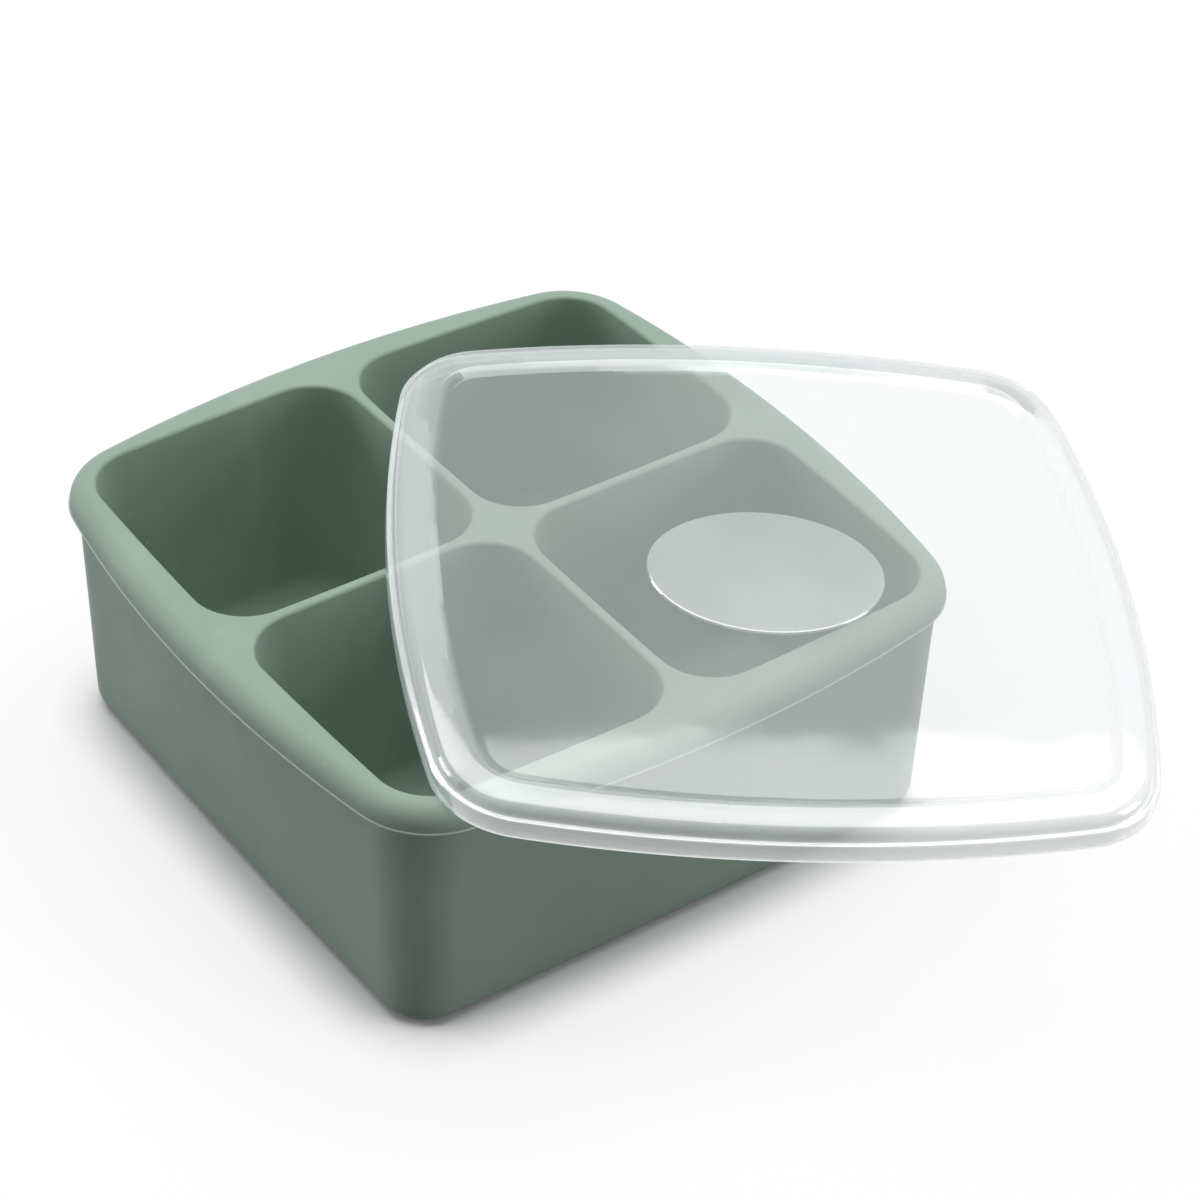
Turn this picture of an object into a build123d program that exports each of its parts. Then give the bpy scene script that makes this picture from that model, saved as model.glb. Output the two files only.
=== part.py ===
from build123d import *
import math
import os

# Silicone freezer tray with four wells, and its clear lid lying askew on top.
# Millimetres, +Z up. The origin is the middle of the tray's underside.


def side_radius(width, bow):
    """Radius of the sides of a square that is this wide across their middles and bows out this far."""
    return ((width / 2 - bow)**2 + bow**2) / (2 * bow)


# Rim of the tray: a square whose sides bow outward
RIM_WIDTH = 165.0
RIM_BOW = 8.235
RIM_SIDE_RADIUS = side_radius(RIM_WIDTH, RIM_BOW)
RIM_CORNER_RADIUS = 19.7
TRAY_HEIGHT = 64.9
LIP_HEIGHT = 5.7
LIP_ROUND = 4.8

# Mould parting ridge along the lower edge of the lip
RIDGE_OUT = 0.3
RIDGE_HEIGHT = 0.4
RIDGE_ROOT = 0.8

# Body of the tray below the lip, drafted inward from its neck to its base
LIP_OVERHANG = 5.2
NECK_WIDTH = RIM_WIDTH - 2 * LIP_OVERHANG
NECK_BOW = 2.78
NECK_SIDE_RADIUS = side_radius(NECK_WIDTH, NECK_BOW)
NECK_CORNER_RADIUS = 16.0
BODY_DRAFT = 3.7
BASE_ROUND = 4.8

# Wells: four tapered pockets, parted by a cross of dividers
RIM_LAND = 9.9
WELL_BOW = 2.075
WELL_SIDE_RADIUS = side_radius(RIM_WIDTH - 2 * RIM_LAND, WELL_BOW)
DIVIDER_TOP = 3.0
FLOOR_THICKNESS = 3.0
WELL_DRAFT = 2.5
WELL_CORNER_RADIUS = 13.0
WELL_FLOOR_ROUND = 8.0
WELL_EDGE_BEVEL = 0.8
WELL_EDGE_LEAN = 45.0

# Lid: a thin moulding with a raised border and a stepped skirt
LID_CLEARANCE = 0.2
LID_WALL = 1.2
SKIRT_RIDGE_GAP = 0.1
SKIRT_STEP_IN = 1.2
SKIRT_STEP_HEIGHT = 5.0
SKIRT_STEP_BEVEL = 0.4
BORDER_WIDTH = 11.3
BORDER_RISE = 1.4
BORDER_SLOPE = 2.2
BORDER_ROUND = 3.2
PLATE_LENGTH = 53.6
PLATE_WIDTH = 41.0
PLATE_RISE = 0.4

# Lid at rest: turned and shifted on the tray, one side on the rim's land, the panel on the opposite lip
LID_TURN = -30.0
LID_FALL = -65.0
LID_SHIFT_X = 34.9
LID_SHIFT_Y = -51.2
REST_GAP = 0.4
STEEPEST_TILT = 12.0
TILT_HALVINGS = 24
OUTLINE_SAMPLES = 240

# Steps in each quarter round that is lofted through sections
ROUND_STEPS = 5

# Length of the bevel that touches a quarter round, as a share of the round's radius
BEVEL_OF_ROUND = 2 - math.sqrt(2)

# How close to level an edge is to count as level
LEVEL_TOLERANCE = 1e-4

rim_half = RIM_WIDTH / 2
lip_bottom = TRAY_HEIGHT - LIP_HEIGHT
skirt_outset = LID_CLEARANCE + LID_WALL
panel_under = LIP_HEIGHT - RIDGE_HEIGHT / 2 - SKIRT_RIDGE_GAP
panel_top = panel_under + LID_WALL
lid_top = panel_top + BORDER_RISE
border_lean = math.degrees(math.atan2(BORDER_SLOPE, BORDER_RISE))


def bowed_square(half, side_radius, corner_radius):
    """Face of a square with bowed sides and round corners; half is measured at mid-side."""
    centre = half - side_radius
    corner = (centre + math.sqrt(2 * side_radius**2 - centre**2)) / 2
    corners = [(corner, -corner), (corner, corner), (-corner, corner), (-corner, -corner)]
    middles = [(half, 0), (0, half), (-half, 0), (0, -half)]
    sides = [ThreePointArc(corners[i], middles[i], corners[(i + 1) % 4]) for i in range(4)]
    face = make_face(sides)
    return fillet(face.vertices(), corner_radius)


def rim_outline(offset):
    """The rim's outline moved outward by an offset, with all its arcs kept concentric."""
    return bowed_square(rim_half + offset, RIM_SIDE_RADIUS + offset, RIM_CORNER_RADIUS + offset)


def slab(outline, low, high):
    """A straight-sided block of an outline between two heights."""
    return extrude(Pos(0, 0, low) * outline, amount=high - low, dir=(0, 0, 1))


def drafted(outline, low, high, lean):
    """A block with an outline at its top and sides that lean inward, by an angle, on the way down."""
    upside_down = extrude(outline, amount=high - low, taper=lean)
    return Pos(0, 0, high) * Rot(180, 0, 0) * upside_down


def rounded_slab(offset, low, high, radius):
    """A block of the rim's outline with a round along its top edge, lofted through the round's steps."""
    sections = [Pos(0, 0, low) * rim_outline(offset)]
    for step in range(ROUND_STEPS + 1):
        turn = math.pi / 2 * step / ROUND_STEPS
        height = high - radius * (1 - math.sin(turn))
        sections.append(Pos(0, 0, height) * rim_outline(offset - radius * (1 - math.cos(turn))))
    return loft(sections, ruled=True)


def level_edges(part, height):
    """The edges of a part that lie flat at one height."""
    def is_level(edge):
        return all(abs(vertex.Z - height) < LEVEL_TOLERANCE for vertex in edge.vertices())

    return part.edges().filter_by(is_level)


def well_mouth(offset):
    """One well's plan at the rim, moved outward: straight sides at the dividers, bowed outer sides."""
    near = DIVIDER_TOP / 2 - offset
    reach = WELL_SIDE_RADIUS + offset
    centre = rim_half - RIM_LAND - WELL_SIDE_RADIUS
    corner = (centre + math.sqrt(2 * reach**2 - centre**2)) / 2
    edge = centre + math.sqrt(reach**2 - near**2)
    middle = (near + corner) / 2
    crown = centre + math.sqrt(reach**2 - middle**2)
    sides = [
        Line((near, near), (edge, near)),
        ThreePointArc((edge, near), (crown, middle), (corner, corner)),
        ThreePointArc((corner, corner), (middle, crown), (near, edge)),
        Line((near, edge), (near, near)),
    ]
    face = make_face(sides)
    return fillet(face.vertices(), WELL_CORNER_RADIUS + offset)


def make_well():
    """The pocket of one well, drafted from its mouth to a floor with a wide bevel in place of its round."""
    well = drafted(well_mouth(0), FLOOR_THICKNESS, TRAY_HEIGHT, WELL_DRAFT)
    well = chamfer(level_edges(well, FLOOR_THICKNESS), WELL_FLOOR_ROUND * BEVEL_OF_ROUND)
    edge_low = TRAY_HEIGHT - 2 * WELL_EDGE_BEVEL
    return well + drafted(well_mouth(WELL_EDGE_BEVEL), edge_low, TRAY_HEIGHT, WELL_EDGE_LEAN)


def make_tray():
    """The silicone moulding: tapered body, overhanging lip, parting ridge and four wells."""
    neck = bowed_square(NECK_WIDTH / 2, NECK_SIDE_RADIUS, NECK_CORNER_RADIUS)
    body = drafted(neck, 0, lip_bottom, BODY_DRAFT)
    body = fillet(level_edges(body, 0), BASE_ROUND)
    lip = rounded_slab(0, lip_bottom, TRAY_HEIGHT, LIP_ROUND)
    ridge_low = lip_bottom - RIDGE_HEIGHT / 2
    ridge = slab(rim_outline(RIDGE_OUT) - rim_outline(-RIDGE_ROOT), ridge_low, ridge_low + RIDGE_HEIGHT)
    tray = body + lip + ridge
    well = make_well()
    for quarter in range(4):
        tray -= Rot(0, 0, 90 * quarter) * well
    return tray


def make_lid():
    """The lid in its own frame: the skirt's lower edge lies in the XY plane."""
    shoulder = skirt_outset - SKIRT_STEP_IN
    recess = skirt_outset - BORDER_WIDTH
    outer = slab(rim_outline(skirt_outset), 0, SKIRT_STEP_HEIGHT)
    outer = chamfer(level_edges(outer, SKIRT_STEP_HEIGHT), SKIRT_STEP_BEVEL)
    crown = rounded_slab(shoulder, 0, lid_top, BORDER_ROUND)
    panel_cut = drafted(rim_outline(recess + BORDER_SLOPE), panel_top, lid_top, border_lean)
    inside = slab(rim_outline(LID_CLEARANCE), 0, SKIRT_STEP_HEIGHT - LID_WALL)
    inside += slab(rim_outline(shoulder - LID_WALL), 0, panel_under)
    channel = slab(rim_outline(shoulder - LID_WALL), 0, lid_top - LID_WALL)
    channel = chamfer(level_edges(channel, lid_top - LID_WALL), (BORDER_ROUND - LID_WALL) * BEVEL_OF_ROUND)
    channel -= slab(rim_outline(recess + LID_WALL), 0, panel_under)
    hollow_edge = rim_outline(recess + BORDER_SLOPE + LID_WALL)
    channel -= drafted(hollow_edge, panel_under, lid_top - LID_WALL, border_lean)
    lid = outer + crown - panel_cut - inside - channel
    plate = Ellipse(PLATE_LENGTH / 2, PLATE_WIDTH / 2)
    return lid + slab(plate, panel_top, panel_top + PLATE_RISE)


def lid_location(tilt, height):
    """Places the lid's own frame: turned, tilted down towards LID_FALL, shifted and lifted."""
    tilted = Rot(0, 0, LID_FALL) * Rot(0, tilt, 0) * Rot(0, 0, LID_TURN - LID_FALL)
    return Pos(LID_SHIFT_X, LID_SHIFT_Y, height) * tilted


def outline_points(outline):
    """Points spaced evenly along a face's outer wire."""
    wire = outline.wire()
    return [wire.position_at(i / OUTLINE_SAMPLES) for i in range(OUTLINE_SAMPLES)]


def on_land(point):
    """True where a point lies over the flat top of the tray, inside the lip's rounding."""
    reach = RIM_SIDE_RADIUS - LIP_ROUND
    centre = RIM_SIDE_RADIUS - rim_half
    along_x = math.hypot(abs(point.X) + centre, point.Y)
    along_y = math.hypot(point.X, abs(point.Y) + centre)
    return max(along_x, along_y) <= reach


def lid_rest():
    """Tilt and height at which the skirt and the panel both come down on the tray."""
    skirt = outline_points(rim_outline(skirt_outset))
    land = outline_points(rim_outline(-LIP_ROUND))
    panel_reach = rim_half + skirt_outset - BORDER_WIDTH + LID_WALL

    def drops(tilt):
        place = lid_location(tilt, 0)
        moved = [(place * Pos(*point)).position for point in skirt]
        skirt_low = min(point.Z for point in moved if on_land(point))
        normal = place.z_axis.direction
        seat = (place * Pos(0, 0, panel_under)).position
        panel_low = math.inf
        for point in land:
            fall = normal.X * (point.X - seat.X) + normal.Y * (point.Y - seat.Y)
            touch = Vector(point.X, point.Y, seat.Z - fall / normal.Z)
            own = (place.inverse() * Pos(*touch)).position
            if max(abs(own.X), abs(own.Y)) < panel_reach:
                panel_low = min(panel_low, touch.Z)
        return skirt_low, panel_low

    low, high = 0.0, STEEPEST_TILT
    for _ in range(TILT_HALVINGS):
        tilt = (low + high) / 2
        skirt_low, panel_low = drops(tilt)
        if skirt_low < panel_low:
            low = tilt
        else:
            high = tilt
    return tilt, TRAY_HEIGHT + REST_GAP - min(skirt_low, panel_low)


tray = make_tray()
tilt, height = lid_rest()
lid = lid_location(tilt, height) * make_lid()
print("lid tilt", round(tilt, 3), "height", round(height, 3))
print("well volume, ml", round(make_well().volume / 1000, 1))

os.makedirs("parts", exist_ok=True)
export_step(tray, "parts/tray.step")
export_step(lid, "parts/lid.step")
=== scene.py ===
# %% [markdown]
# # A silicone freezer tray and its clear lid
#
# The tray is one thick moulding of sage green silicone with four deep wells. The lid is a thin
# moulding of clear, slightly milky plastic that lies askew on the rim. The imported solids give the
# places and sizes, and this script makes the surfaces that are seen.

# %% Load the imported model
import math

import bmesh
import bpy
import numpy as np
from mathutils import Matrix, Vector
from mathutils.geometry import delaunay_2d_cdt


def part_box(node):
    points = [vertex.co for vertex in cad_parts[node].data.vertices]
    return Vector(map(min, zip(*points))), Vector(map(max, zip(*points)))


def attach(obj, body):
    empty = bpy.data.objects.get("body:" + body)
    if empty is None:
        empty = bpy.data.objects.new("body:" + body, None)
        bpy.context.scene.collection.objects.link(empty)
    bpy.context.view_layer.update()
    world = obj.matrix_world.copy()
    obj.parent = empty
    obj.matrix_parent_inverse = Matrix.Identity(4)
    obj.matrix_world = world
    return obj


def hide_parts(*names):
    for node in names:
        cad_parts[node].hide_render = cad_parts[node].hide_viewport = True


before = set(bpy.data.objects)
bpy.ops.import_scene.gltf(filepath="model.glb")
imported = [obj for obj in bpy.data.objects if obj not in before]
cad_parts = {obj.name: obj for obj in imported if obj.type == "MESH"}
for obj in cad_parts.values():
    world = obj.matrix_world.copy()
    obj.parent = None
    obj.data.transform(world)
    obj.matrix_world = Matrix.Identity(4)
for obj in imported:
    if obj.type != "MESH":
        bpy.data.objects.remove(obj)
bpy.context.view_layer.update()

# %% [markdown]
# ## Sizes
#
# Both pieces follow one outline, a square whose sides bow outward. The body under the lip is
# nearly straight-sided at its base and more bowed at its neck, so it has two sets of sizes that are
# blended by height. Everything is in metres, written in millimetres for reading.

# %% Sizes of the tray
MM = 0.001
RIM_HALF, RIM_BOW, RIM_CORNER = 82.5 * MM, 339 * MM, 19.7 * MM
NECK_HALF, NECK_BOW, NECK_CORNER = 77.3 * MM, 711 * MM, 15.5 * MM
BASE_HALF, BASE_BOW, BASE_CORNER = 73.05 * MM, 4000 * MM, 11.8 * MM
TRAY_HEIGHT, LIP_HEIGHT, LIP_ROUND, BASE_ROUND = 64.9 * MM, 5.7 * MM, 4.8 * MM, 4.8 * MM
LIP_BOTTOM = TRAY_HEIGHT - LIP_HEIGHT
print("tray", round(2 * RIM_HALF / MM, 1), "mm wide,", round(TRAY_HEIGHT / MM, 1), "mm tall")

# %% [markdown]
# ## Outlines as rings of points
#
# A Bezier curve could draw a bowed square, but its offsets would only be near. An outline made of
# arcs is easy to offset exactly: each point moves along its own normal. The ring below always has
# the same number of points in each side and each corner, so two rings of different size match point
# for point and can be joined by a strip of quads.

# %% Rings round a bowed square
SIDE_STEPS, CORNER_STEPS = 40, 18
QUARTER_TURN = np.array([[0.0, 1.0], [-1.0, 0.0]])


def bowed_ring(half, bow, corner, offset=0.0):
    """Points of a bowed square, anticlockwise, and their outward normals."""
    middle = half - bow
    reach = bow - corner
    centre = (middle + math.sqrt(2 * reach**2 - middle**2)) / 2
    turn = math.atan2(centre, centre - middle)
    side = np.linspace(-turn, turn, SIDE_STEPS, endpoint=False)
    bend = np.linspace(turn, math.pi / 2 - turn, CORNER_STEPS, endpoint=False)
    side_normals = np.column_stack([np.cos(side), np.sin(side)])
    bend_normals = np.column_stack([np.cos(bend), np.sin(bend)])
    side_points = np.array([middle, 0.0]) + side_normals * (bow + offset)
    bend_points = np.array([centre, centre]) + bend_normals * (corner + offset)
    quarter = np.vstack([side_points, bend_points])
    normals = np.vstack([side_normals, bend_normals])
    points, directions = [], []
    for _ in range(4):
        points.append(quarter)
        directions.append(normals)
        quarter = quarter @ QUARTER_TURN
        normals = normals @ QUARTER_TURN
    return np.vstack(points), np.vstack(directions)


def rim_ring(offset):
    """The rim's outline, moved outward by an offset."""
    return bowed_ring(RIM_HALF, RIM_BOW, RIM_CORNER, offset)[0]


def at_height(ring, z):
    """A flat ring of points lifted to a height."""
    return np.column_stack([ring, np.full(len(ring), z)])


RING = len(rim_ring(0.0))
print("points in a ring", RING)

# %% [markdown]
# ## Joining rings into a skin
#
# A subdivision surface would round every edge by guess. A stack of rings puts each edge and round
# just where it belongs, with quads between neighbours. A ring that closes to a point, such as the
# middle of a floor, ends in a fan of triangles.

# %% Skins from rings
def skin(rings, close_start=False, close_end=False):
    """Vertices and faces of a stack of equal rings, its ends left open or closed by a fan."""
    count = len(rings[0])
    vertices = [tuple(point) for ring in rings for point in ring]
    faces = []
    for level in range(len(rings) - 1):
        low, high = level * count, (level + 1) * count
        for i in range(count):
            j = (i + 1) % count
            faces.append((low + i, low + j, high + j, high + i))
    for wanted, level in ((close_start, 0), (close_end, len(rings) - 1)):
        if wanted:
            hub = len(vertices)
            vertices.append(tuple(np.mean(rings[level], axis=0)))
            first = level * count
            faces.extend((hub, first + i, first + (i + 1) % count) for i in range(count))
    return vertices, faces


def mesh_object(name, vertices, faces, edges=()):
    """A new object in the scene from lists of vertices, edges and faces."""
    mesh = bpy.data.meshes.new(name)
    mesh.from_pydata(vertices, list(edges), faces)
    made = bpy.data.objects.new(name, mesh)
    bpy.context.scene.collection.objects.link(made)
    return made


def quarter_round(radius, start, stop, steps):
    """Cosines and sines, times a radius, of a turn between two angles in degrees."""
    turn = np.radians(np.linspace(start, stop, steps))
    return radius * np.cos(turn), radius * np.sin(turn)


print("ring helpers ready")

# %% [markdown]
# ## The tray's outer skin
#
# The skin starts in the middle of the underside, turns up round the base, climbs the drafted sides,
# steps out under the lip, runs over the thin parting ridge that the two halves of the mould leave,
# and ends where the lip's round meets the flat land. The ridge is real geometry, because a bump in
# the finish would not show in the outline.

# %% Outer skin of the tray
FLOOR_RINGS, WALL_RINGS, ROUND_RINGS, LIP_RINGS = 5, 14, 12, 14
FIRST_FLOOR_SHARE, WALL_END = 0.2, 0.8 * MM
NECK_PROFILE = [(0.15, -0.25), (0.7, 0.0)]
RIDGE_PROFILE = [(-1.4, 0.0), (-0.4, 0.0), (-0.15, -0.2), (0.2, -0.2), (0.3, -0.08),
                 (0.3, 0.08), (0.2, 0.2), (0.05, 0.24), (0.0, 0.4), (0.0, 0.65)]


def body_ring(z, offset=0.0):
    """The body's outline at a height, between its base and its neck."""
    share = z / LIP_BOTTOM
    half = BASE_HALF + share * (NECK_HALF - BASE_HALF)
    bow = 1 / (1 / BASE_BOW + share * (1 / NECK_BOW - 1 / BASE_BOW))
    corner = BASE_CORNER + share * (NECK_CORNER - BASE_CORNER)
    return at_height(bowed_ring(half, bow, corner, offset)[0], z)


outer_rings = []
draft = math.degrees(math.atan2(NECK_HALF - BASE_HALF, LIP_BOTTOM))
first_ring = body_ring(0.0, -BASE_ROUND)
for share in np.linspace(FIRST_FLOOR_SHARE, 1.0, FLOOR_RINGS, endpoint=False):
    outer_rings.append(first_ring * np.array([share, share, 1.0]))
across, up = quarter_round(BASE_ROUND, -90, -draft, ROUND_RINGS)
for a, u in zip(across, up):
    outer_rings.append(body_ring(BASE_ROUND + u, a - BASE_ROUND))
for z in np.linspace(BASE_ROUND + up[-1], LIP_BOTTOM - WALL_END, WALL_RINGS)[1:]:
    outer_rings.append(body_ring(z))
for out, z in NECK_PROFILE:
    outer_rings.append(body_ring(LIP_BOTTOM + z * MM, out * MM))
for out, z in RIDGE_PROFILE:
    outer_rings.append(at_height(rim_ring(out * MM), LIP_BOTTOM + z * MM))
across, up = quarter_round(LIP_ROUND, 0, 90, LIP_RINGS)
for a, u in zip(across, up):
    outer_rings.append(at_height(rim_ring(a - LIP_ROUND), TRAY_HEIGHT - LIP_ROUND + u))
land_ring = outer_rings[-1]
outer_vertices, outer_faces = skin(outer_rings, close_start=True)
print("outer skin", len(outer_vertices), "points")

# %% [markdown]
# ## The outline of one well
#
# A well is a four-sided pocket between two dividers and the land of the rim. Its outer sides lean
# with a very slow bow, so its four corners are not quite those of a square.

# %% Corners of one well
RIM_LAND, DIVIDER_TOP, FLOOR_THICKNESS = 9.9 * MM, 3.0 * MM, 3.0 * MM
WELL_BOW = 1200 * MM

near = DIVIDER_TOP / 2
bow_centre = RIM_HALF - RIM_LAND - WELL_BOW
far_corner = (bow_centre + math.sqrt(2 * WELL_BOW**2 - bow_centre**2)) / 2
far_edge = bow_centre + math.sqrt(WELL_BOW**2 - near**2)
well_corners = np.array([(near, near), (far_edge, near), (far_corner, far_corner), (near, far_edge)])
print("well corners, mm", np.round(well_corners / MM, 1).tolist())

# %% [markdown]
# Each corner is rounded and each side bulges a little. All the rings of a well share their corner
# centres, so the corners tighten towards the floor as they do in a real mould. A plain scaled copy
# of the mouth would lose that.

# %% Outline of one well
WELL_CORNER, WELL_BULGE = 13 * MM, 0.2 * MM
WELL_SIDE_STEPS, WELL_CORNER_STEPS = 16, 14


def heading(angle):
    """A unit vector in the plane at an angle."""
    return np.array([math.cos(angle), math.sin(angle)])


def well_ring(inset):
    """The well's outline, moved inward by an inset, as points anticlockwise."""
    points = []
    count = len(well_corners)
    sides = [well_corners[(i + 1) % count] - well_corners[i] for i in range(count)]
    angles = [math.atan2(side[1], side[0]) - math.pi / 2 for side in sides]
    for i in range(count):
        before, after = angles[i - 1], angles[i]
        while after < before:
            after += 2 * math.pi
        opening = math.pi - (after - before)
        inward = heading((before + after) / 2 + math.pi)
        centre = well_corners[i] + WELL_CORNER / math.sin(opening / 2) * inward
        for turn in np.linspace(before, after, WELL_CORNER_STEPS):
            points.append(centre + (WELL_CORNER - inset) * heading(turn))
    ring = []
    for i in range(count):
        bend = points[i * WELL_CORNER_STEPS:(i + 1) * WELL_CORNER_STEPS]
        following = points[((i + 1) % count) * WELL_CORNER_STEPS]
        ring.extend(bend)
        for share in np.linspace(0, 1, WELL_SIDE_STEPS + 1)[1:-1]:
            bulge = 4 * WELL_BULGE * share * (1 - share)
            ring.append(bend[-1] * (1 - share) + following * share + bulge * heading(angles[i]))
    return np.array(ring)


print("well mouth", len(well_ring(0.0)), "points,", round((far_edge - near) / MM, 1), "mm across")

# %% [markdown]
# ## The depth of one well
#
# The mouth has a small round, the walls lean in by a few degrees so that the moulding leaves its
# mould, and the floor meets the walls in a wide round. A tapered block could be cut from the tray,
# but both rounds would then have to be bevelled afterwards. A stack of rings has them at once.

# %% Rings of one well
WELL_DRAFT, WELL_FLOOR_ROUND, WELL_EDGE_ROUND = 2.5, 8 * MM, 1.0 * MM
WELL_EDGE_RINGS, WELL_WALL_RINGS, WELL_FLOOR_RINGS = 7, 12, 11
FLOOR_SHARES = (0.8, 0.6, 0.4, 0.2)

lean = math.tan(math.radians(WELL_DRAFT))
edge_foot = TRAY_HEIGHT - WELL_EDGE_ROUND
round_top = FLOOR_THICKNESS + WELL_FLOOR_ROUND
floor_inset = (TRAY_HEIGHT - FLOOR_THICKNESS - WELL_FLOOR_ROUND) * lean
well_rings = []
across, up = quarter_round(WELL_EDGE_ROUND, 90, WELL_DRAFT, WELL_EDGE_RINGS)
for a, u in zip(across, up):
    well_rings.append(at_height(well_ring(a - WELL_EDGE_ROUND), edge_foot + u))
for z in np.linspace(edge_foot, round_top, WELL_WALL_RINGS)[1:]:
    well_rings.append(at_height(well_ring((TRAY_HEIGHT - z) * lean), z))
across, up = quarter_round(WELL_FLOOR_ROUND, 0, -90, WELL_FLOOR_RINGS)
for a, u in zip(across[1:], up[1:]):
    well_rings.append(at_height(well_ring(floor_inset + WELL_FLOOR_ROUND - a), round_top + u))
last_ring = well_rings[-1]
floor_hub = np.mean(last_ring, axis=0)
for share in FLOOR_SHARES:
    well_rings.append(floor_hub + (last_ring - floor_hub) * share)
well = mesh_object("one_well", *skin(well_rings, close_end=True))
mouth_ring = well_rings[0]
print("one well", len(well_rings), "rings,", round((TRAY_HEIGHT - FLOOR_THICKNESS) / MM, 1), "mm deep")

# %% [markdown]
# ## Nodes written as expressions
#
# Node trees made line by line are long and hard to read. One class wraps an output socket: adding
# or multiplying two of them adds a Math node, so a sum in a node tree reads like a sum in Python.

# %% Sockets with arithmetic
class Wire:
    """An output socket of a node tree; arithmetic on it adds Math nodes."""

    def __init__(self, board, socket):
        self.board = board
        self.socket = socket

    def math(self, operation, first, second=0.0):
        return self.board.node("ShaderNodeMath", {"operation": operation}, {0: first, 1: second})

    def __add__(self, other):
        return self.math("ADD", self, other)

    def __sub__(self, other):
        return self.math("SUBTRACT", self, other)

    def __rsub__(self, other):
        return self.math("SUBTRACT", other, self)

    def __mul__(self, other):
        return self.math("MULTIPLY", self, other)

    def __truediv__(self, other):
        return self.math("DIVIDE", self, other)

    def __pow__(self, other):
        return self.math("POWER", self, other)

    def __gt__(self, other):
        return self.math("GREATER_THAN", self, other)

    def __lt__(self, other):
        return self.math("LESS_THAN", self, other)

    def most(self, other):
        return self.math("MAXIMUM", self, other)

    __radd__ = __add__
    __rmul__ = __mul__


print("socket class ready")

# %% [markdown]
# Every other node comes from one method. It makes a node, gives it its settings first, and then
# sets or links its inputs.

# %% Boards that make nodes
class Board:
    """A node tree that makes nodes with their settings and inputs in one call."""

    def __init__(self, tree):
        self.tree = tree

    def node(self, kind, settings=None, inputs=None, output=0):
        made = self.tree.nodes.new(kind)
        for name, value in (settings or {}).items():
            setattr(made, name, value)
        for key, value in (inputs or {}).items():
            if isinstance(value, Wire):
                self.tree.links.new(value.socket, made.inputs[key])
            else:
                made.inputs[key].default_value = value
        return Wire(self, made.outputs[output]) if made.outputs else made


print("board class ready")

# %% [markdown]
# ## Geometry Nodes as a workshop
#
# A tree gets named inputs for what may change. It runs once on an object, and the plain mesh that
# comes out takes the object's place, because a finished piece keeps no live modifier.

# %% Helpers for Geometry Nodes
def geometry_board(name, sockets):
    """An empty tree with named inputs; gives its board, and its inputs as wires by name."""
    tree = bpy.data.node_groups.new(name, "GeometryNodeTree")
    tree.interface.new_socket("Geometry", in_out="INPUT", socket_type="NodeSocketGeometry")
    tree.interface.new_socket("Geometry", in_out="OUTPUT", socket_type="NodeSocketGeometry")
    for label, kind in sockets.items():
        tree.interface.new_socket(label, in_out="INPUT", socket_type=kind)
    board = Board(tree)
    entry = tree.nodes.new("NodeGroupInput")
    return board, {socket.name: Wire(board, socket) for socket in entry.outputs if socket.name}


def end_tree(board, made, finish):
    """Ends a tree: instances become real, and the mesh gets its finish."""
    real = board.node("GeometryNodeRealizeInstances", None, {0: made})
    coated = board.node("GeometryNodeSetMaterial", None, {"Geometry": real, "Material": finish})
    board.node("NodeGroupOutput", None, {"Geometry": coated})


def grown(host, board, values):
    """Runs a tree on an object and puts the plain mesh that it makes in the object's place."""
    modifier = host.modifiers.new(board.tree.name, "NODES")
    modifier.node_group = board.tree
    for item in board.tree.interface.items_tree:
        if item.in_out == "INPUT" and item.name in values:
            modifier[item.identifier] = values[item.name]
    depsgraph = bpy.context.evaluated_depsgraph_get()
    mesh = bpy.data.meshes.new_from_object(host.evaluated_get(depsgraph))
    host.modifiers.remove(modifier)
    host.data = mesh
    return host


silicone = bpy.data.materials.new("sage_silicone")
plastic = bpy.data.materials.new("clear_lid_plastic")
print("finishes named", silicone.name, plastic.name)

# %% [markdown]
# ## Four wells from one
#
# The wells repeat about the middle of the tray, a quarter turn apart. Geometry Nodes place one
# instance for each turn and make them real, so the one well stays the only shape to edit.

# %% Repeat the well about the middle
WELLS = 4

board, given = geometry_board(
    "wells_about_the_middle", {"Copies": "NodeSocketInt", "Finish": "NodeSocketMaterial"})
posts = board.node("GeometryNodePoints", None, {"Count": given["Copies"]})
index = board.node("GeometryNodeInputIndex")
turn = board.node("ShaderNodeCombineXYZ", None, {"Z": index * (2 * math.pi) / given["Copies"]})
placed = board.node("GeometryNodeInstanceOnPoints", None, {
    "Points": posts, "Instance": given["Geometry"], "Rotation": turn})
end_tree(board, placed, given["Finish"])
grown(well, board, {"Copies": WELLS, "Finish": silicone})
print("four wells", len(well.data.polygons), "faces")

# %% [markdown]
# ## The flat land and the dividers' tops
#
# The land is one flat face with four holes. A Boolean cut would leave long slivers, so a constrained
# Delaunay triangulation fills the plane between the rings, and the triangles inside a well's mouth
# are thrown away.

# %% Fill the land between the rings
CLOSE_POINTS, KEEP_INSIDE = 1e-7, 1


def inside(point, loop):
    """True where a point lies inside a closed loop of points."""
    x, y = point
    ahead = np.roll(loop, -1, axis=0)
    crosses = (loop[:, 1] > y) != (ahead[:, 1] > y)
    rise = np.where(crosses, ahead[:, 1] - loop[:, 1], 1.0)
    where = loop[:, 0] + (y - loop[:, 1]) * (ahead[:, 0] - loop[:, 0]) / rise
    return bool(np.count_nonzero(crosses & (x < where)) % 2)


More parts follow.
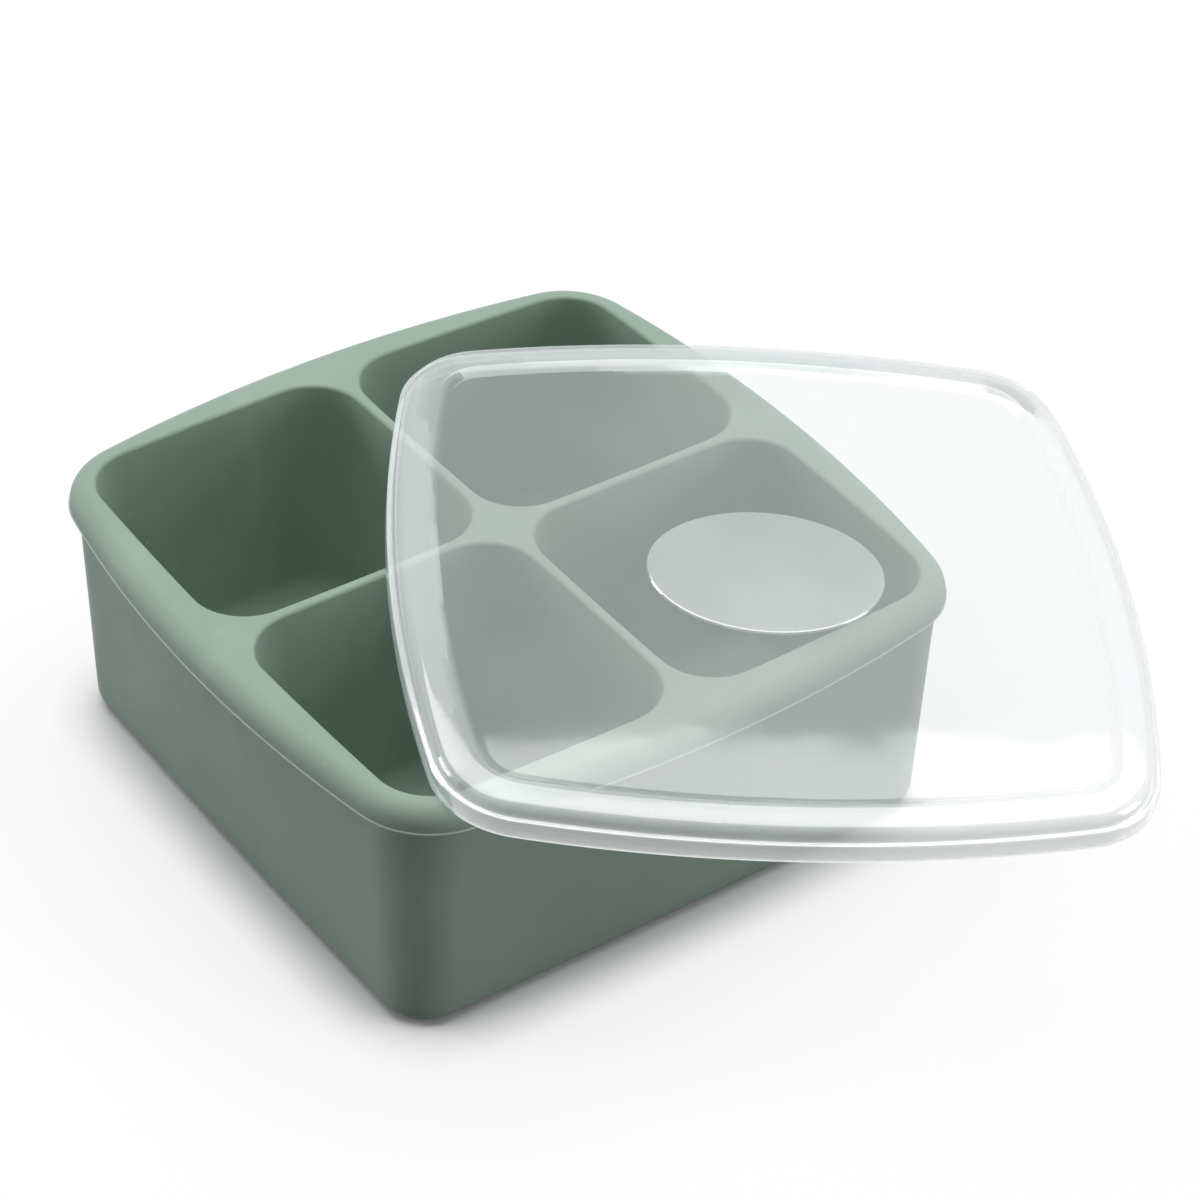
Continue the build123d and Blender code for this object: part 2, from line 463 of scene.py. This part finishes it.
mouths = [mouth_ring[:, :2] @ np.linalg.matrix_power(QUARTER_TURN, k) for k in range(WELLS)]
loops = [land_ring[:, :2]] + mouths
flat_points, flat_edges = [], []
for loop in loops:
    first = len(flat_points)
    flat_points.extend(Vector(point) for point in loop)
    flat_edges.extend((first + i, first + (i + 1) % len(loop)) for i in range(len(loop)))
filled = delaunay_2d_cdt(flat_points, flat_edges, [], KEEP_INSIDE, CLOSE_POINTS)
plane_points = np.array([tuple(point) for point in filled[0]])
land_faces = []
for triangle in filled[2]:
    middle = plane_points[list(triangle)].mean(axis=0)
    if inside(middle, loops[0]) and not any(inside(middle, loop) for loop in mouths):
        land_faces.append(tuple(triangle))
land = mesh_object("land", at_height(plane_points, TRAY_HEIGHT).tolist(), land_faces)
print("land", len(land_faces), "triangles")

# %% [markdown]
# ## One closed moulding
#
# The outer skin, the land and the wells share their edge rings. A Boolean union works on closed
# solids and would cut new edges, so the skins are joined and their rims welded. Once the doubles are
# gone the moulding is closed, and its normals are turned outward.

# %% Weld the tray
TRAY_WELD = 0.02 * MM


def welded(name, parts, distance):
    """Joins objects into one mesh object, welds their rims and turns the faces outward."""
    work = bmesh.new()
    for part in parts:
        work.from_mesh(part.data)
        bpy.data.objects.remove(part)
    rims = [vertex for vertex in work.verts if vertex.is_boundary]
    bmesh.ops.remove_doubles(work, verts=rims, dist=distance)
    bmesh.ops.recalc_face_normals(work, faces=work.faces)
    for face in work.faces:
        face.smooth = True
    open_edges = sum(1 for edge in work.edges if len(edge.link_faces) != 2)
    mesh = bpy.data.meshes.new(name)
    work.to_mesh(mesh)
    work.free()
    made = bpy.data.objects.new(name, mesh)
    bpy.context.scene.collection.objects.link(made)
    print(name, len(mesh.polygons), "faces,", open_edges, "open edges")
    return made


outer = mesh_object("outer_skin", outer_vertices, outer_faces)
tray = welded("tray_moulding", [outer, land, well], TRAY_WELD)
tray.data.materials.clear()
tray.data.materials.append(silicone)

# %% [markdown]
# ## Marking the parting flash
#
# The flash on the parting ridge is thin, and the finish lightens its colour there: a painted highlight
# along the ridge.
# A point attribute marks it, because it follows the surface exactly where a pattern in space would
# only be near.

# %% Mark the flash
FLASH_OUT, FLASH_HALF_HEIGHT = 0.1 * MM, 0.25 * MM
rim_outline, rim_normals = bowed_ring(RIM_HALF, RIM_BOW, RIM_CORNER)


def on_flash(point):
    """True where a point stands out past the rim's outline, on the thin flash."""
    flat = np.array(point[:2])
    nearest = int(np.argmin(np.hypot(*(rim_outline - flat).T)))
    return float((flat - rim_outline[nearest]) @ rim_normals[nearest]) > FLASH_OUT


parting = tray.data.attributes.new("parting", "FLOAT", "POINT")
for vertex in tray.data.vertices:
    at_split = abs(vertex.co.z - LIP_BOTTOM) < FLASH_HALF_HEIGHT
    parting.data[vertex.index].value = 1.0 if at_split and on_flash(vertex.co) else 0.0
print("points on the parting flash", sum(1 for item in parting.data if item.value > 0))

# %% [markdown]
# ## The lid's profile
#
# The lid is one profile swept round the rim's outline: a sunken panel's edge, a slope up to the
# rounded border, a step down to the skirt, and the same again inside at the thickness of the wall.
# Drawing both sides in one line keeps the wall's thickness right at every corner, which a Solidify
# modifier would not. Each row gives a corner's place out from the rim, its height and its round.

# %% Profile of the lid
LID_CLEARANCE, LID_WALL, SKIRT_OUT, SHOULDER_OUT = 0.2 * MM, 1.2 * MM, 1.4 * MM, 0.2 * MM
SKIRT_STEP, PANEL_UNDER, PANEL_TOP, LID_TOP = 5.0 * MM, 5.4 * MM, 6.6 * MM, 8.0 * MM
RECESS, BORDER_SLOPE, TOP_LAP, UNDER_LAP = -9.9 * MM, 2.2 * MM, 1.5 * MM, 0.3 * MM
EDGE_ROUND, SHOULDER = 0.35 * MM, SKIRT_STEP - 0.3 * MM

inner_wall, inner_step = SHOULDER_OUT - LID_WALL, SKIRT_STEP - LID_WALL
inner_top = LID_TOP - LID_WALL
lid_corners = [
    (RECESS - TOP_LAP, PANEL_TOP, 0.0),
    (RECESS, PANEL_TOP, 0.9 * MM),
    (RECESS + BORDER_SLOPE, LID_TOP, 0.9 * MM),
    (SHOULDER_OUT, LID_TOP, 3.0 * MM),
    (SHOULDER_OUT, SHOULDER, 0.25 * MM),
    (SKIRT_OUT, SHOULDER, 0.5 * MM),
    (SKIRT_OUT, 0.0, EDGE_ROUND),
    (LID_CLEARANCE, 0.0, EDGE_ROUND),
    (LID_CLEARANCE, inner_step, 0.4 * MM),
    (inner_wall, inner_step, 0.25 * MM),
    (inner_wall, inner_top, 1.9 * MM),
    (RECESS + LID_WALL + BORDER_SLOPE, inner_top, 0.6 * MM),
    (RECESS + LID_WALL, PANEL_UNDER, 0.8 * MM),
    (RECESS - UNDER_LAP, PANEL_UNDER, 0.0)]
print("lid", round(LID_TOP / MM, 1), "mm tall,", len(lid_corners), "corners in its profile")

# %% [markdown]
# An arc replaces each inner corner. A Bevel modifier would give all of them one radius. One more
# point on the skirt, a little above its lower edge, keeps the glint of that edge narrow.

# %% Round the profile
ARC_STEPS, EDGE_GLOW = 7, 0.8 * MM


def rounded_line(corners, steps):
    """A line through rows of place, height and radius, with an arc at each inner corner."""
    points = [np.array(corner[:2], dtype=float) for corner in corners]
    line = [points[0]]
    for i in range(1, len(points) - 1):
        radius = corners[i][2]
        back, ahead = points[i - 1] - points[i], points[i + 1] - points[i]
        back_unit, ahead_unit = back / np.linalg.norm(back), ahead / np.linalg.norm(ahead)
        half_angle = math.acos(float(np.clip(back_unit @ ahead_unit, -1, 1))) / 2
        reach = radius / math.tan(half_angle)
        bisector = (back_unit + ahead_unit) / np.linalg.norm(back_unit + ahead_unit)
        centre = points[i] + bisector * radius / math.sin(half_angle)
        start = points[i] + back_unit * reach - centre
        stop = points[i] + ahead_unit * reach - centre
        for share in np.linspace(0, 1, steps):
            spoke = start * (1 - share) + stop * share
            line.append(centre + spoke / np.linalg.norm(spoke) * radius)
    line.append(points[-1])
    return line


lid_line = rounded_line(lid_corners, ARC_STEPS)
above_glow = next(
    i for i in range(len(lid_line) - 1) if lid_line[i][1] > EDGE_GLOW > lid_line[i + 1][1])
lid_line.insert(above_glow + 1, np.array((lid_line[above_glow][0], EDGE_GLOW)))
print("lid profile", len(lid_line), "points")

# %% [markdown]
# ## The lid's border and skirt
#
# Geometry Nodes sweep the profile, drawn once as a line of points, along the rim's outline. Like a
# rail for a moulding, the outline can change without any change to the profile.

# %% Sweep the profile
profile_points = [(out, -z, 0.0) for out, z in lid_line]
profile_edges = [(i, i + 1) for i in range(len(profile_points) - 1)]
profile = mesh_object("lid_profile", profile_points, [], profile_edges)
path_points = at_height(rim_ring(0.0), 0.0).tolist()
border = mesh_object("lid_border", path_points, [], [(i, (i + 1) % RING) for i in range(RING)])

board, given = geometry_board(
    "profile_round_an_outline", {"Profile": "NodeSocketObject", "Finish": "NodeSocketMaterial"})
drawn = board.node("GeometryNodeObjectInfo", None, {"Object": given["Profile"]}, "Geometry")
drawn_line = board.node("GeometryNodeMeshToCurve", None, {"Mesh": drawn})
outline = board.node("GeometryNodeMeshToCurve", None, {"Mesh": given["Geometry"]})
upright = board.node("GeometryNodeSetCurveNormal", {"mode": "Z_UP"}, {"Curve": outline})
swept = board.node("GeometryNodeCurveToMesh", None, {"Curve": upright, "Profile Curve": drawn_line})
end_tree(board, swept, given["Finish"])
grown(border, board, {"Profile": profile, "Finish": plastic})
bpy.data.objects.remove(profile)
heights = [vertex.co.z / MM for vertex in border.data.vertices]
print("border", len(border.data.polygons), "faces, heights",
      round(min(heights), 2), "to", round(max(heights), 2), "mm")

# %% [markdown]
# ## The panel and its oval plate
#
# The panel is flat. On top it carries a low, bare oval plate in its middle. Rings that change from
# the border's outline to the oval keep the mesh tidy. The rings draw close together at the foot of
# the plate, because smooth shading would otherwise tilt the light over the last wide strip.

# %% Panel rings
PLATE_HALF_LENGTH, PLATE_HALF_WIDTH = 26.8 * MM, 20.5 * MM
PLATE_RISE, PLATE_EDGE, PLATE_EDGE_RINGS = 0.4 * MM, 0.35 * MM, 5
PANEL_RINGS, FOOT_GAPS = 9, (0.8 * MM, 0.3 * MM, 0.15 * MM, 0.05 * MM)
PLATE_SHARES, UNDER_SHARES = (0.97, 0.8, 0.6, 0.4, 0.2), (1.0, 0.98, 0.8, 0.6, 0.4, 0.2)
LID_WELD = 0.25 * MM


def oval_ring(grow):
    """The plate's oval, grown outward, with its points in the same directions as the rim's."""
    ring = rim_ring(0.0)
    angle = np.arctan2(ring[:, 1], ring[:, 0])
    return np.column_stack([
        (PLATE_HALF_LENGTH + grow) * np.cos(angle), (PLATE_HALF_WIDTH + grow) * np.sin(angle)])


top_edge = rim_ring(RECESS - TOP_LAP)
under_edge = rim_ring(RECESS - UNDER_LAP)
top_rings = []
for share in np.linspace(0, 1, PANEL_RINGS):
    top_rings.append(at_height(top_edge * (1 - share) + oval_ring(FOOT_GAPS[0]) * share, PANEL_TOP))
for gap in FOOT_GAPS[1:]:
    top_rings.append(at_height(oval_ring(gap), PANEL_TOP))
across, up = quarter_round(PLATE_EDGE, 0, 90, PLATE_EDGE_RINGS)
for a, u in zip(across, up):
    top_rings.append(at_height(oval_ring(a - PLATE_EDGE), PANEL_TOP + PLATE_RISE - PLATE_EDGE + u))
for share in PLATE_SHARES:
    top_rings.append(at_height(oval_ring(-PLATE_EDGE) * share, PANEL_TOP + PLATE_RISE))
under_rings = [at_height(under_edge * share, PANEL_UNDER) for share in UNDER_SHARES]
panel_top = mesh_object("panel_top", *skin(top_rings, close_end=True))
panel_under = mesh_object("panel_under", *skin(under_rings, close_end=True))
lid = welded("lid_moulding", [border, panel_top, panel_under], LID_WELD)
lid.data.materials.clear()
lid.data.materials.append(plastic)

# %% [markdown]
# ## Where the plastic is milky and where it glints
#
# The border and the skirt scatter more light than the flat panel, and the plate is frosted. Light
# that is caught in a clear sheet comes out at its edges, so the skirt's lower edge and the plate's
# edge glint. Two point attributes mark this on the mesh, so one finish can serve the whole lid.

# %% Mark milk and glints
BORDER_MILK, SKIRT_MILK, PLATE_MILK, PLATE_GLOW = 0.5, 0.65, 1.0, 0.5
PLATE_LEVEL, PLATE_FOOT, HAIR = PANEL_TOP + 0.98 * PLATE_RISE, PANEL_TOP + 0.04 * MM, 0.01 * MM
OVAL_INNER, OVAL_OUTER = 0.97, 1.01


def milk_and_glow(x, y, z):
    """How milky a point of the lid is, and how much its edge glints."""
    away = math.hypot(x / PLATE_HALF_LENGTH, y / PLATE_HALF_WIDTH)
    over_panel = max(abs(x), abs(y)) < RIM_HALF + RECESS
    if away < 1.0 and z > PLATE_LEVEL:
        milk = PLATE_MILK
    elif over_panel and PANEL_UNDER - HAIR < z < PANEL_TOP + PLATE_RISE:
        milk = 0.0
    else:
        milk = SKIRT_MILK if z < SKIRT_STEP else BORDER_MILK
    if z < EDGE_ROUND + HAIR:
        return milk, 1.0
    on_plate_edge = OVAL_INNER < away < OVAL_OUTER and PLATE_FOOT < z < PLATE_LEVEL
    return milk, PLATE_GLOW if on_plate_edge else 0.0


milkiness = lid.data.attributes.new("milkiness", "FLOAT", "POINT")
edge_glow = lid.data.attributes.new("edge_glow", "FLOAT", "POINT")
for vertex in lid.data.vertices:
    milk, glow = milk_and_glow(*vertex.co)
    milkiness.data[vertex.index].value = milk
    edge_glow.data[vertex.index].value = glow
print("points that glint", sum(1 for item in edge_glow.data if item.value > 0))

# %% [markdown]
# ## Where the lid lies
#
# The lid is turned and shifted on the tray, and it tips a little to one side, because one side of
# its skirt stands on the rim's land while its panel rests on the opposite lip. The place goes into
# the mesh and the object stays at the origin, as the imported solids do.

# %% Place the lid
LID_TURN, LID_FALL, LID_TILT = -30.0, -65.0, 5.677
LID_PLACE = Vector((34.9, -51.2, 62.88)) * MM


def turn_about(axis, degrees):
    """A rotation matrix about an axis."""
    return Matrix.Rotation(math.radians(degrees), 4, axis)


placing = Matrix.Translation(LID_PLACE) @ turn_about("Z", LID_FALL) @ turn_about("Y", LID_TILT)
placing = placing @ turn_about("Z", LID_TURN - LID_FALL)
lid.data.transform(placing)
low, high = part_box("lid")
seen = np.array([vertex.co for vertex in lid.data.vertices])
print("lid box off by, mm", np.round((seen.min(0) - np.array(low)) / MM, 2),
      np.round((seen.max(0) - np.array(high)) / MM, 2))

# %% [markdown]
# ## Sage silicone
#
# Silicone is matt with a soft sheen. Its colour drifts very slightly, handling leaves faint paler
# smears, it draws fine dust, and the thin flash on the parting line gets a painted highlight, a paler
# colour than the thick wall.
# An image could paint this, but a pattern of noise in object coordinates stays with the piece, has
# no seams and shows from every side.

# %% Helpers for finishes
def shader_board(material):
    """A cleared material tree as a board."""
    material.use_nodes = True
    material.node_tree.nodes.clear()
    return Board(material.node_tree)


def noise(place, scale, detail, roughness=0.5, distortion=0.0):
    """A noise pattern, read at a place."""
    return place.board.node("ShaderNodeTexNoise", None, {
        "Vector": place, "Scale": scale, "Detail": detail, "Roughness": roughness,
        "Distortion": distortion})


def marked(board, name):
    """The value of a point attribute."""
    return board.node("ShaderNodeAttribute", {"attribute_name": name}, None, "Fac")


def mixed(share, first, second):
    """A colour between two colours."""
    return share.board.node(
        "ShaderNodeMix", {"data_type": "RGBA"}, {0: share, 6: first, 7: second}, 2)


def ranged(value, low, high, start, stop):
    """A value carried from one range to another, and held at the ends."""
    return value.board.node("ShaderNodeMapRange", None, {
        "Value": value, "From Min": low, "From Max": high, "To Min": start, "To Max": stop})


print("finish helpers ready")

# %% [markdown]
# The specks of dust are the middles of a few random Voronoi cells, kept only where the smudges are
# strong. The smears come from noise that is stretched upward, as a hand wipes it.

# %% Finish of the silicone
# The dust colour serves both the real specks and smears and the painted highlight on the parting
# flash.
SAGE, SAGE_PALE, DUST_AND_HIGHLIGHT = (0.248, 0.346, 0.279, 1), (0.283, 0.384, 0.314, 1), (0.62, 0.68, 0.63, 1)
SMEAR_SHARE, SPECK_SHARE, FLASH_HIGHLIGHT_SHARE = 0.08, 0.6, 0.6
SPECK_SIZE, SPECK_CHANCE, SPECK_CELLS = 0.1, 0.93, 260.0

board = shader_board(silicone)
place = board.node("ShaderNodeTexCoord", None, None, "Object")
tall = board.node("ShaderNodeMapping", None, {"Vector": place, "Scale": (1.0, 1.0, 0.25)})
drift = noise(place, 22.0, 3.0, 0.55)
smudge = noise(place, 60.0, 4.0, 0.6, 0.8)
smear = noise(tall, 75.0, 3.0, 0.6)
grain = noise(place, 1800.0, 2.0)
cell = {"Vector": place, "Scale": SPECK_CELLS}
middle = board.node("ShaderNodeTexVoronoi", {"feature": "F1"}, cell, "Distance")
lot = board.node("ShaderNodeTexVoronoi", {"feature": "F1"}, cell, "Color")
chance = board.node("ShaderNodeSeparateColor", None, {0: lot}, 0)
speck = (middle < SPECK_SIZE) * (chance > SPECK_CHANCE) * ranged(smudge, 0.45, 0.6, 0.0, 1.0)
tone = mixed(ranged(drift, 0.3, 0.7, 0.0, 1.0), SAGE, SAGE_PALE)
pale = ranged(smear, 0.56, 0.75, 0.0, SMEAR_SHARE).most(speck * SPECK_SHARE)
# The flash on the parting line is lightened towards the dust colour: a painted highlight.
pale = pale.most(marked(board, "parting") * FLASH_HIGHLIGHT_SHARE)
bump = board.node("ShaderNodeBump", None, {"Strength": 0.12, "Distance": 0.2 * MM, "Height": grain})
surface = board.node("ShaderNodeBsdfPrincipled", None, {
    "Base Color": mixed(pale, tone, DUST_AND_HIGHLIGHT), "Roughness": ranged(smudge, 0.3, 0.7, 0.50, 0.62),
    "Normal": bump, "Sheen Weight": 0.09, "Sheen Roughness": 0.5, "Specular IOR Level": 0.34})
board.node("ShaderNodeOutputMaterial", None, {"Surface": surface})
print("silicone finish", len(board.tree.nodes), "nodes")

# %% [markdown]
# ## Clear, milky plastic
#
# The lid is clear but not like glass: a little of the light scatters in it and lays a pale veil over
# what lies behind. Refraction is not needed in so thin a wall, and it would throw dark lines and a
# heavy shadow. So the veil is a partly transparent pale surface, and over it lies a gloss that grows
# towards grazing views and bends a little with the waves of the sheet. The point attributes say
# where the veil is denser, where the plate is frosted and where edges glint. The plastic hands on
# nearly all of the light, so veil and gloss fade for shadow rays.

# %% Patterns of the lid
# The veil's two colours are its own pale milk, with a slight teal tint that is painted light: green
# light bounced up from the tray.
HAZE_WITH_BOUNCE_TINT, MILK_WITH_BOUNCE_TINT, WHITE = (0.585, 0.64, 0.64, 1), (0.735, 0.79, 0.795, 1), (1, 1, 1, 1)
FROST_START, FROST_GREY, SHADOW_FADE = 0.85, 0.75, 0.8

board = shader_board(plastic)
place = board.node("ShaderNodeTexCoord", None, None, "Object")
haze, scuff, swell = noise(place, 18.0, 2.0), noise(place, 70.0, 2.0), noise(place, 26.0, 2.0)
milky, glint = marked(board, "milkiness"), marked(board, "edge_glow")
frosted = ranged(milky, FROST_START, PLATE_MILK, 0.0, 1.0)
whiteness = ranged(milky, 0.0, BORDER_MILK, 0.0, 1.0) - frosted * FROST_GREY
skirt = ranged(milky, BORDER_MILK, SKIRT_MILK, 0.0, 1.0) - frosted
lit_through = 1 - board.node("ShaderNodeLightPath", None, None, "Is Shadow Ray") * SHADOW_FADE
ripple = board.node("ShaderNodeBump", None, {"Strength": 0.22, "Distance": 0.5 * MM, "Height": swell})
print("plastic patterns", len(board.tree.nodes), "nodes")

# %% [markdown]
# The veil is densest on the skirt and uneven on the frosted plate. The gloss is a white mirror with
# a small share of the surface, and on faces seen from inside the sheet it is weaker.

# %% Veil and gloss of the lid
MILK_VEIL, FROST_ROUGH, INNER_FADE = 0.4, 0.3, 0.7
GRAZING, GRAZING_POWER, PLAIN = 0.6, 4.0, 0.07
WHITE_GLOSS, SKIRT_GLOSS, GLINT_GLOSS = 0.02, 0.11, 0.5

cloud = ranged(haze, 0.35, 0.65, 0.16, 0.04)
veil = ranged(haze, 0.35, 0.65, 0.12, 0.155) + milky * MILK_VEIL - frosted * cloud
# Both veil colours carry the painted teal tint of light bounced from the tray.
milk = board.node("ShaderNodeBsdfPrincipled", None, {
    "Base Color": mixed(whiteness, HAZE_WITH_BOUNCE_TINT, MILK_WITH_BOUNCE_TINT), "Roughness": 0.45, "IOR": 1.45,
    "Alpha": veil * lit_through, "Normal": ripple})
polish = ranged(scuff, 0.35, 0.75, 0.035, 0.055) + frosted * FROST_ROUGH
gloss = board.node("ShaderNodeBsdfPrincipled", None, {
    "Base Color": WHITE, "Metallic": 1.0, "Roughness": polish, "Normal": ripple})
slant = board.node("ShaderNodeLayerWeight", None, {"Blend": 0.5}, "Facing")
within = board.node("ShaderNodeNewGeometry", None, None, "Backfacing")
shine = slant**GRAZING_POWER * GRAZING + whiteness * WHITE_GLOSS + skirt * SKIRT_GLOSS
shine = shine + glint * GLINT_GLOSS + PLAIN
mirror = shine * (1 - within * INNER_FADE) * lit_through
surface = board.node("ShaderNodeMixShader", None, {0: mirror, 1: milk, 2: gloss})
board.node("ShaderNodeOutputMaterial", None, {"Surface": surface})
print("plastic finish", len(board.tree.nodes), "nodes")

# %% [markdown]
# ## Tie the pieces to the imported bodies
#
# Each piece rides on its body and stands for the solid of the same piece.

# %% Ride and replace
for piece, body, finish in ((tray, "tray", "silicone"), (lid, "lid", "clear_lid")):
    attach(piece, body)
    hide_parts(body)
print("pieces tied", tray.name, lid.name)

# %% [markdown]
# ## A white floor
#
# Rays that come straight from the camera, or through and off the clear lid, see the floor lifted
# towards white, so its wide shadow is faint. More light would do that too, but it would bleach the
# tray. The lift fades close to the tray, where the floor sees little of the sky, so the contact
# shadow stays, and it is full far away from the tray.

# %% Floor
FLOOR_HALF, CONTACT, NEAR_LIFT = 6, 18 * MM, 0.76
FLOOR_DIM, FLOOR_PALE = (0.2, 0.2, 0.2, 1), (0.98, 0.98, 0.98, 1)


def direct_rays(board):
    """1 for rays from the camera, or reflected or carried on by gloss and clear plastic, else 0."""
    path = board.tree.nodes.new("ShaderNodeLightPath")
    kinds = ("Is Camera Ray", "Is Glossy Ray", "Is Transmission Ray")
    camera, glossy, through = (Wire(board, path.outputs[kind]) for kind in kinds)
    return camera.most(glossy).most(through)


floor_corners = [(x * FLOOR_HALF, y * FLOOR_HALF, 0) for x, y in ((-1, -1), (1, -1), (1, 1), (-1, 1))]
floor = mesh_object("floor", floor_corners, [(0, 1, 2, 3)])
floor_paint = bpy.data.materials.new("floor_white")
board = shader_board(floor_paint)
direct = direct_rays(board)
paint = board.node("ShaderNodeBsdfDiffuse", None, {"Color": mixed(direct, FLOOR_DIM, FLOOR_PALE)})
glow = board.node("ShaderNodeEmission", None, {"Color": WHITE, "Strength": 1.0})
open_sky = board.node("ShaderNodeAmbientOcclusion", {"samples": 16}, {"Distance": CONTACT}, "AO")
place = board.node("ShaderNodeTexCoord", None, None, "Object")
away = board.node("ShaderNodeVectorMath", {"operation": "LENGTH"}, {0: place}, "Value")
lift = ranged(open_sky, 0.53, 0.92, 0.0, NEAR_LIFT) + ranged(away, 0.5, 1.1, 0.0, 1 - NEAR_LIFT)
surface = board.node("ShaderNodeMixShader", None, {0: direct * lift, 1: paint, 2: glow})
board.node("ShaderNodeOutputMaterial", None, {"Surface": surface})
floor_paint.cycles.emission_sampling = "NONE"
floor.data.materials.append(floor_paint)
print("floor", 2 * FLOOR_HALF, "m wide")

# %% [markdown]
# ## Studio light
#
# Light comes from one large soft panel above, whose edge the glossy lid mirrors, from two small
# panels at the sides and from a dim even surround. Direct rays see the surround as white.

# %% Surround and lamps
SURROUND, LIT_SPOT, SIDE_PANEL = 0.15, (0, 0, 0.03), (0.8, 0.8)


def soft_panel(name, place, target, size, power, turn=0.0):
    """A rectangular area lamp at a place, facing a target, turned about its own axis."""
    lamp = bpy.data.lights.new(name, "AREA")
    lamp.shape = "RECTANGLE"
    lamp.size, lamp.size_y = size
    lamp.energy = power
    held = bpy.data.objects.new(name, lamp)
    aim = (Vector(target) - Vector(place)).to_track_quat("-Z", "Y").to_matrix().to_4x4()
    held.matrix_world = Matrix.Translation(place) @ aim @ turn_about("Z", turn)
    bpy.context.scene.collection.objects.link(held)


world = bpy.data.worlds.new("studio")
bpy.context.scene.world = world
world.use_nodes = True
world.node_tree.nodes.clear()
board = Board(world.node_tree)
dim = board.node("ShaderNodeBackground", None, {"Color": WHITE, "Strength": SURROUND})
white = board.node("ShaderNodeBackground", None, {"Color": WHITE, "Strength": 1.0})
surface = board.node("ShaderNodeMixShader", None, {0: direct_rays(board), 1: dim, 2: white})
board.node("ShaderNodeOutputWorld", None, {"Surface": surface})
soft_panel("panel_above", (0.27, 0.23, 1.25), (0.27, 0.23, 0.03), (1.7, 1.4), 20, -24.6)
soft_panel("panel_left", (-1.3, 1.3, 0.5), LIT_SPOT, SIDE_PANEL, 10)
soft_panel("panel_right", (1.3, -1.3, 0.5), LIT_SPOT, SIDE_PANEL, 9.2)

# %% [markdown]
# ## Camera
#
# The camera stands where the lines of the rim, the base and the lid agree: a long lens that looks
# down on the tray's front corner.

# %% Camera
CAMERA_PLACE = Vector((-379.877, -548.326, 565.861)) * MM
CAMERA_RIGHT = Vector((0.8151794, -0.5784944, 0.0287543))
CAMERA_UP = Vector((0.3384624, 0.5160515, 0.7868508))
CAMERA_BACK = Vector((-0.4700274, -0.6316923, 0.6164731))

view = bpy.data.cameras.new("view")
view.sensor_width, view.lens = 36.0, 110.2
camera = bpy.data.objects.new("view", view)
stance = Matrix((CAMERA_RIGHT, CAMERA_UP, CAMERA_BACK)).transposed().to_4x4()
camera.matrix_world = Matrix.Translation(CAMERA_PLACE) @ stance
bpy.context.scene.collection.objects.link(camera)
bpy.context.scene.camera = camera
bpy.context.scene.view_settings.view_transform = "Standard"
print("camera at", [round(v, 3) for v in CAMERA_PLACE])
